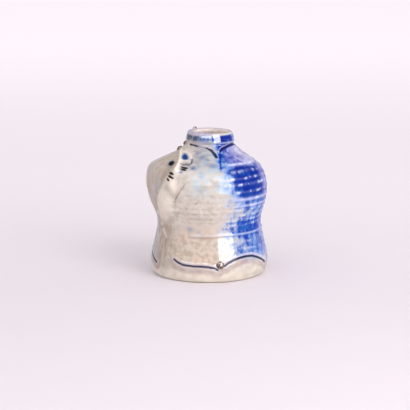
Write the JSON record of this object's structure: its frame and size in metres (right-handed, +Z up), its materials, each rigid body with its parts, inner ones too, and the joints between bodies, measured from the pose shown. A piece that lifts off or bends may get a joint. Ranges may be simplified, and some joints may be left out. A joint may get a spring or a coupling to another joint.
{
  "type": "head vase",
  "caption": "Small wheel-thrown stoneware bottle vase, its shoulder worked into an animal's head in low relief, salt-glazed cream and blue, with pressed beads of dark clay.",
  "frame": {"origin": "The middle of the flat base, on the surface that the vase stands on", "axes": "+Z up, out of the mouth; the head looks along -Y; +X is the head's own left"},
  "size_m": [0.082, 0.086, 0.1007],
  "materials": {
    "salt_glaze": "gloss, orange-peel texture",
    "dark_clay": "semi-gloss"
  },
  "bodies": {
    "root": {"vase": "salt_glaze", "bead_hem_front": "dark_clay", "bead_hem_left": "dark_clay", "bead_hem_right": "dark_clay", "bead_shoulder": "dark_clay", "bead_neck": "dark_clay", "bead_rim": "dark_clay"}
  },
  "joints": []
}
